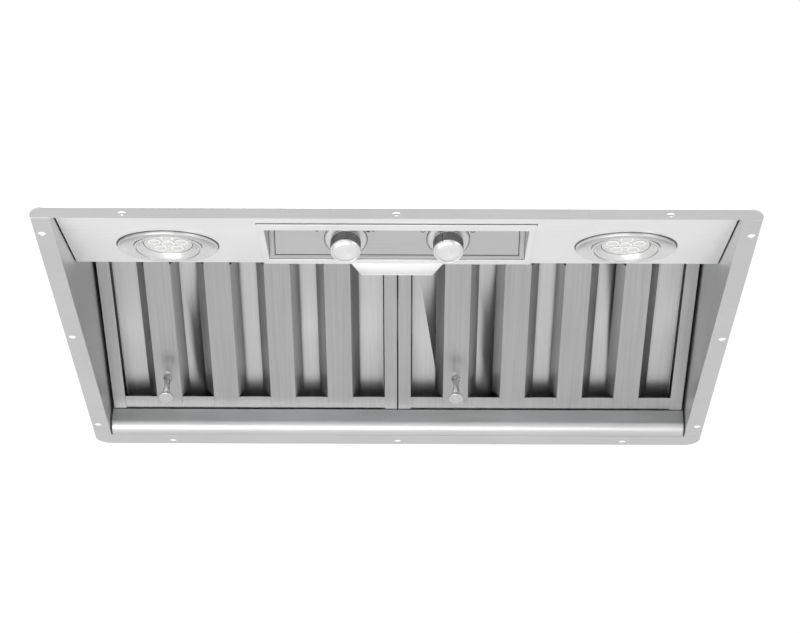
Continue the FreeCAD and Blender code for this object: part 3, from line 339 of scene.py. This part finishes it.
def softened(node, width_mm, finish=None):
    """The node's own shape with its folded and cut edges rounded, as rolled sheet has them."""
    mesh = bmesh.new()
    mesh.from_mesh(NODES[node].data)
    bmesh.ops.remove_doubles(mesh, verts=mesh.verts, dist=1e-6)
    sharp = [e for e in mesh.edges if len(e.link_faces) == 2 and e.calc_face_angle() > radians(30)]
    bmesh.ops.bevel(mesh, geom=sharp, offset=width_mm * MM, segments=2, profile=0.5, affect="EDGES",
                    clamp_overlap=True)
    piece = stand_for(f"{node}_sheet", mesh, node, sharp=radians(50), finish=finish)
    flats = piece.modifiers.new("flat faces stay flat", "WEIGHTED_NORMAL")
    flats.keep_sharp = True


# ------------------------------------------------------------------------------------ sheet pieces
SHEET_NODES = [
    "front_wall", "rear_wall", "left_wall", "right_wall", "top_cover", "light_panel", "control_bezel",
    "control_recess", "control_plate", "grease_trough", "trough_end_caps", "filter_front_rail",
    *[f"{side}_filter_{part}" for side in SIDES for part in ("frame", "lower_baffles", "upper_baffles")],
]
EDGE_MM = 0.3
WALL_BEND_MM = 0.5
OWN_FINISH = {"control_plate": PLATE_SHEET}
for side_name in SIDES:
    OWN_FINISH[f"{side_name}_filter_upper_baffles"] = RECESSED_SHEET
for sheet_name in SHEET_NODES:
    bend = WALL_BEND_MM if sheet_name.endswith("_wall") else EDGE_MM
    softened(sheet_name, bend, OWN_FINISH.get(sheet_name))


# ---------------------------------------------------------------------------------- turned pieces
KNURLS = 56
KNURL_LEAD = 0.22
KNURL_DEPTH = 0.45
POINTER_WIDTH = 1.2
POINTER_DEPTH = 0.8
POINTER_AT = {"speed_knob": radians(270), "light_knob": radians(113)}


def knurled(angle, radius, height):
    """Diamond knurling on the knob's side, with a plain band at its foot and under its bevel."""
    if radius < 15.85 or not 6.2 < height < 18.6:
        return radius
    rise = KNURLS * KNURL_LEAD * (height - 6.2) / 2
    ridges = abs(sin(KNURLS * angle / 2 + rise)) + abs(sin(KNURLS * angle / 2 - rise))
    return radius - KNURL_DEPTH * (1 - ridges / 2)


def with_pointer(at):
    """The knurled side with one straight pointer groove cut down it at an angle."""
    def rippled(angle, radius, height):
        across = abs((angle - at + pi) % tau - pi) * radius
        if radius > 15 and across < POINTER_WIDTH / 2:
            return radius - POINTER_DEPTH
        return knurled(angle, radius, height)
    return rippled


def control_knob(name, joint):
    side_rows = [(15.9, 6 + 12.8 * i / 44) for i in range(45)]
    outline = [(3, 4.4), (15.2, 4.4), (15.9, 5.1), *side_rows, (15.9, 19.4), (15.55, 19.85), (14.6, 20.85),
               (14.3, 21), (13.9, 20.9), (13.6, 20.2), (13.2, 20.85), (9, 20.75), (4, 20.65), (0, 20.6)]
    mesh = lathe(outline, around=336, ripple=with_pointer(POINTER_AT[name]))
    place = facing(joint["pos_m"], joint["axis"])
    knob = stand_for(f"turned_{name}", mesh, name, place=place, sharp=radians(60))
    # the knurled band takes a darker copy of the aluminium: painted shade for the light trapped in its
    # diamonds
    knob.data.materials.append(KNURL_SHADED)
    for face in knob.data.polygons:
        x, y, height = face.center / MM
        face.material_index = int(x * x + y * y > 14.6 ** 2 and 5.6 < height < 19)


def pull(name, outward):
    base = end_centre(f"{name}_pull_knob", -outward)
    outline = [(0, 0), (5.1, 0), (5.4, 0.4), (5.35, 1.4)] + smooth_line(
        [(5.2, 2), (4.2, 4.2), (3.5, 8), (3.3, 13), (3.75, 18), (4.6, 22.4), (6, 26.4), (7.6, 29.2),
         (8.45, 30.6)]) \
        + smooth_line([(8.6, 31.2), (8.5, 31.9), (8.0, 32.35), (7.3, 32.5)]) + [(4, 32.42), (0, 32.4)]
    stand_for(f"{name}_turned_pull", lathe(outline), f"{name}_pull_knob", place=facing(base, outward))


for knob_name in ("speed_knob", "light_knob"):
    control_knob(knob_name, JOINTS[f"{knob_name}_turn"])
slide = Vector(JOINTS["left_filter_slide"]["axis"])
filter_down = Vector((1, 0, 0)).cross(slide)
for side_name in SIDES:
    pull(side_name, filter_down)


# -------------------------------------------------------------------------------------------- lights
TRIM_DEPTH = 14.4
SHADE_RING_SHIFT = 0.7
GIMBAL_RADIUS = 35
CELL_RADIUS = 6.4
CELL_CIRCLE = 14.6


def light_trim(name):
    """The round trim: an upright rim, then a shallow dish in to the ball ring's mouth."""
    down = Vector((0, sin(PANEL_SLOPE), -cos(PANEL_SLOPE)))
    top = end_centre(f"{name}_light_trim", -down)
    dish = smooth_line([(35.4, 1.0), (37, 1.15), (41, 1.45), (46, 2.05), (49.6, 2.75), (50.9, 3.05)])
    outline = [(35.4, -0.4), *dish, (51.6, 3.1), (52, 2.7), (52, 0.2), (51.7, 0), (49, 0), (49, -TRIM_DEPTH),
               (47.8, -TRIM_DEPTH), (47.8, 0.6), (36.2, -0.2), (35.4, -0.4)]
    place = facing(top + down * TRIM_DEPTH * MM, down)
    stand_for(f"{name}_spun_trim", lathe(outline, around=160), f"{name}_light_trim", place=place)


def lamp_place(name):
    """The lamp's own place: its pivot, and the way that it shines."""
    joint = JOINTS[f"{name}_lamp_tilt"]
    lean = PANEL_SLOPE - LAMP_TILT
    return facing(joint["pos_m"], (0, sin(lean), -cos(lean)))


def lamp_ring(name):
    """The ball ring: a bright lip, a narrow groove and a polished dish that runs in to the lamp."""
    angles = [radians(-21.8 + 3 * i) for i in range(9)]
    ball = [(GIMBAL_RADIUS * cos(a), GIMBAL_RADIUS * sin(a)) for a in angles]
    dish = smooth_line([(32.1, 0.9), (30.4, 0.2), (28.4, -1.3), (26.6, -2.8), (25.4, -4)])
    outline = [*ball, (34.7, 1.5), (33.5, 1.5), (33.3, 1.2), (33.3, -0.4), (32.6, -0.4), (32.5, 0.7), *dish,
               (25.3, -13), (32.5, -13)]
    stand_for(f"{name}_spun_ring", lathe(outline, around=160), f"{name}_lamp_ring", place=lamp_place(name))


def finned(angle, radius, height):
    """Cooling fins down the back of the lamp's body."""
    return radius - 1.1 * (sin(28 * angle) > 0) if height < -11 and radius > 11 else radius


def led_lamp(name):
    """The lamp: a moulded body with cooling fins behind, and a lens plate with six bright-rimmed cells."""
    place = lamp_place(name)
    body = [(0, -5.4), (22.6, -5.4), (23.2, -4.3), (23.8, -4), (24.7, -4.2), (25, -5), (25, -11),
            (24.6, -11.4),
            *[(24.6 - 14.4 * i / 8, -11.4 - 8.6 * i / 8) for i in range(1, 9)], (10, -24), (0, -24)]
    stand_for(f"{name}_lamp_body", lathe(body, around=224, ripple=finned), f"{name}_led_lamp", place=place)
    centres = [(0, 0)] + [(CELL_CIRCLE * sin(tau * i / 5), CELL_CIRCLE * cos(tau * i / 5)) for i in range(5)]
    rim = [(CELL_RADIUS, -5.3), (CELL_RADIUS + 0.3, -4.5), (CELL_RADIUS - 0.3, -4.1), (CELL_RADIUS - 1, -4.3)]
    bowl = [(CELL_RADIUS - 1.5, -4.9), (3.4, -5.15), (2.4, -4.8), (1.2, -4.55), (0, -4.5)]
    for index, (x, y) in enumerate(centres):
        spot = place @ Matrix.Translation((x * MM, y * MM, 0))
        # each cell's rim is coloured white: a painted highlight for the bright outline of its curve
        cell = (("rim", rim, RIM_HIGHLIGHT_WHITE), ("lens", [rim[-1], *bowl], FINISHES["lamp_lens"]))
        for part, outline, finish in cell:
            new_piece(f"{name}_lamp_{part}_{index + 1}", lathe(outline, around=40), f"{name}_led_lamp",
                      place=spot, finish=finish)


def trim_shade_round(name):
    """A dark ring laid under the trim's edge: painted shade for the gap round the trim, set forward so that
    more of it shows at the front.
    """
    down = Vector((0, sin(PANEL_SLOPE), -cos(PANEL_SLOPE)))
    centre = end_centre(f"{name}_light_trim", -down) + down * TRIM_DEPTH * MM
    place = facing(centre, down) @ Matrix.Translation((0, SHADE_RING_SHIFT * MM, 0))
    gap_shade = lathe([(51.7, 0.02), (51.7, 0.14), (53.1, 0.14), (53.1, 0.02)], around=160)
    new_piece(f"{name}_trim_seam", gap_shade, f"{name}_light_trim", place=place, finish=PRINT_AND_SHADE_FILL)


for side_name in SIDES:
    light_trim(side_name)
    trim_shade_round(side_name)
    lamp_ring(side_name)
    led_lamp(side_name)


# --------------------------------------------------------------------------------- control plate
PLATE_DOWN = Vector(JOINTS["speed_knob_turn"]["axis"])
LINE_WIDTH = 0.9


def plate_patch(mesh, centre, half):
    """A thin raised rectangle on the plate, from its centre and half sizes in mm."""
    made = bmesh.ops.create_cube(mesh, size=2)["verts"]
    bmesh.ops.scale(mesh, verts=made, vec=(half[0] * MM, half[1] * MM, half[2] * MM))
    bmesh.ops.translate(mesh, verts=made, vec=Vector(centre) * MM)


def plate_marks():
    """A dark line round the plate, painted shade for the shadow gap inside its raised border, and the plain
    printed dots and rings beside the two knobs.
    """
    low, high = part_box("control_plate")
    half_width = (high.x - low.x) / 2 / MM - 7.4
    speed, light = (Vector(JOINTS[f"{name}_knob_turn"]["pos_m"]) for name in ("speed", "light"))
    place = facing(((speed + light) / 2), PLATE_DOWN)
    spacing = (light - speed).length / MM
    # the line round the plate is painted shade for the gap inside its raised border
    lines = bmesh.new()
    rear = -22.3
    plate_patch(lines, (0, rear, 0.1), (half_width, LINE_WIDTH / 2, 0.12))
    for sign in (-1, 1):
        plate_patch(lines, (sign * half_width, -3, 0.1), (LINE_WIDTH / 2, 20, 0.12))
    new_piece("plate_shade_line", lines, "control_plate", place=place, finish=PRINT_AND_SHADE_FILL)
    for index, (x, radius) in enumerate(((-30, 1.5), (-22.6, 0.8), (23.6, 2.2), (28.6, 1.5))):
        spot = place @ Matrix.Translation(((x - spacing / 2) * MM, 11.4 * MM, 0.02 * MM))
        dot = lathe([(0, 0.14), (radius - 0.2, 0.14), (radius, 0.05), (radius, -0.05)], around=32)
        new_piece(f"speed_mark_{index + 1}", dot, "control_plate", place=spot, finish=PRINT_AND_SHADE_FILL)
    for index, x in enumerate((-26.5, 25.5)):
        spot = place @ Matrix.Translation(((x + spacing / 2) * MM, 11.4 * MM, 0.02 * MM))
        ring = lathe([(2.3, -0.05), (2.3, 0.14), (1.5, 0.14), (1.5, -0.05)], around=40)
        new_piece(f"light_mark_{index + 1}", ring, "control_plate", place=spot, finish=PRINT_AND_SHADE_FILL)


def knob_ring(name):
    """The pressed ring under a knob: a rolled edge, a shallow valley inside it and a dark outer line, painted
    shade for the gap round the ring.
    """
    outline = [(4.8, 0.1), (4.8, 0.5), (19.6, 0.55), (20.6, 0.3), (21.3, 0.45), (21.9, 0.95),
               (22.25, 0.7), (22.3, 0.05)]
    joint = JOINTS[f"{name}_turn"]
    place = facing(joint["pos_m"], joint["axis"])
    stand_for(f"{name}_pressed_ring", lathe(outline), f"{name}_ring", place=place)
    # the dark line outside the ring is painted shade for the gap round it
    shade = lathe([(22.9, 0.02), (22.9, 0.12), (22.3, 0.14), (22.3, 0.02)])
    new_piece(f"{name}_ring_shade_line", shade, f"{name}_ring", place=place, finish=PRINT_AND_SHADE_FILL)


def bezel_shade_strips():
    """Dark strips laid on the panel along the bezel's front edge and round its ends: painted shade for the
    gap there.
    """
    down = Vector((0, sin(PANEL_SLOPE), -cos(PANEL_SLOPE)))
    low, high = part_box("control_bezel")
    on_panel = end_centre("light_panel", down)
    along = (low[1] - on_panel.y) / cos(PANEL_SLOPE)
    edge = Vector((0, on_panel.y, on_panel.z)) + along * Vector((0, cos(PANEL_SLOPE), sin(PANEL_SLOPE)))
    half = (high[0] - low[0]) / 2 / MM
    gap_shade = bmesh.new()
    plate_patch(gap_shade, (0, 0.7, 0.1), (half, 0.65, 0.12))
    for sign in (-1, 1):
        plate_patch(gap_shade, (sign * (half + 0.4), -1.2, 0.1), (0.5, 2.6, 0.12))
    new_piece("bezel_shade_strips", gap_shade, "control_bezel", place=facing(edge, down), finish=PRINT_AND_SHADE_FILL)


plate_marks()
bezel_shade_strips()
for knob_name in ("speed_knob", "light_knob"):
    knob_ring(knob_name)


# ------------------------------------------------------------------------------------ stage and light
FLOOR_LEVEL = -2.6
CAMERA_AT = (0.01155, -2.31096, -1.09637)
CAMERA_PITCH, CAMERA_YAW, CAMERA_ROLL = (radians(v) for v in (25.918, -0.2103, 0.2887))
LENS_MM = 105.96


def pale_paper():
    """Studio paper: matt, pale, with a hardly visible mottle."""
    return speckled("paper, matt pale studio roll", "dedede", "e6e6e6", (0.8, 0.9), 400)


def stage_floor():
    mesh = bmesh.new()
    bmesh.ops.create_grid(mesh, x_segments=2, y_segments=2, size=12)
    data = bpy.data.meshes.new("floor")
    mesh.to_mesh(data)
    mesh.free()
    made = bpy.data.objects.new("floor", data)
    made.location = (0, 0, FLOOR_LEVEL)
    data.materials.append(pale_paper())
    bpy.context.scene.collection.objects.link(made)


def soft_light(name, at, aim, size, watts):
    data = bpy.data.lights.new(name, "AREA")
    data.shape = "RECTANGLE"
    data.size, data.size_y = size
    data.energy = watts
    made = bpy.data.objects.new(name, data)
    made.location = at
    made.visible_camera = False
    made.rotation_euler = (Vector(aim) - Vector(at)).to_track_quat("-Z", "Y").to_euler()
    bpy.context.scene.collection.objects.link(made)


def studio():
    stage_floor()
    soft_light("key", (-0.6, -1.0, -2.3), (0, 0, 0), (2.4, 1.8), 26)
    soft_light("fill", (2.2, -1.6, -0.8), (0, 0, 0), (1.4, 1.4), 8)
    soft_light("top", (0.5, -0.5, 3.2), (0, 0, 0.2), (2.4, 2.4), 12)
    soft_light("front edge", (0, -2.8, 1.2), (0, -0.28, 0), (3.0, 1.2), 40)
    soft_light("rear", (1.0, 3.0, 1.6), (0, 0, 0.1), (1.8, 1.8), 10)
    world = bpy.data.worlds.new("white studio")
    world.use_nodes = True
    world.node_tree.nodes.clear()
    backdrop = add(world.node_tree, "ShaderNodeBackground", {"Color": colour("ffffff"), "Strength": 1.05})
    add(world.node_tree, "ShaderNodeOutputWorld", {"Surface": backdrop.outputs["Background"]})
    bpy.context.scene.world = world
    bpy.context.scene.view_settings.view_transform = "Standard"
    bpy.context.scene.cycles.glossy_bounces = 10


def photographer():
    """The camera: low in front of the hood, looking up at its underside."""
    data = bpy.data.cameras.new("camera")
    data.lens = LENS_MM
    data.sensor_width = 36
    made = bpy.data.objects.new("camera", data)
    bpy.context.scene.collection.objects.link(made)
    turn = Matrix.Rotation(-CAMERA_YAW, 4, "Z") @ Matrix.Rotation(pi / 2 + CAMERA_PITCH, 4, "X") \
        @ Matrix.Rotation(CAMERA_ROLL, 4, "Z")
    made.matrix_world = Matrix.Translation(CAMERA_AT) @ turn
    bpy.context.scene.camera = made


studio()
photographer()
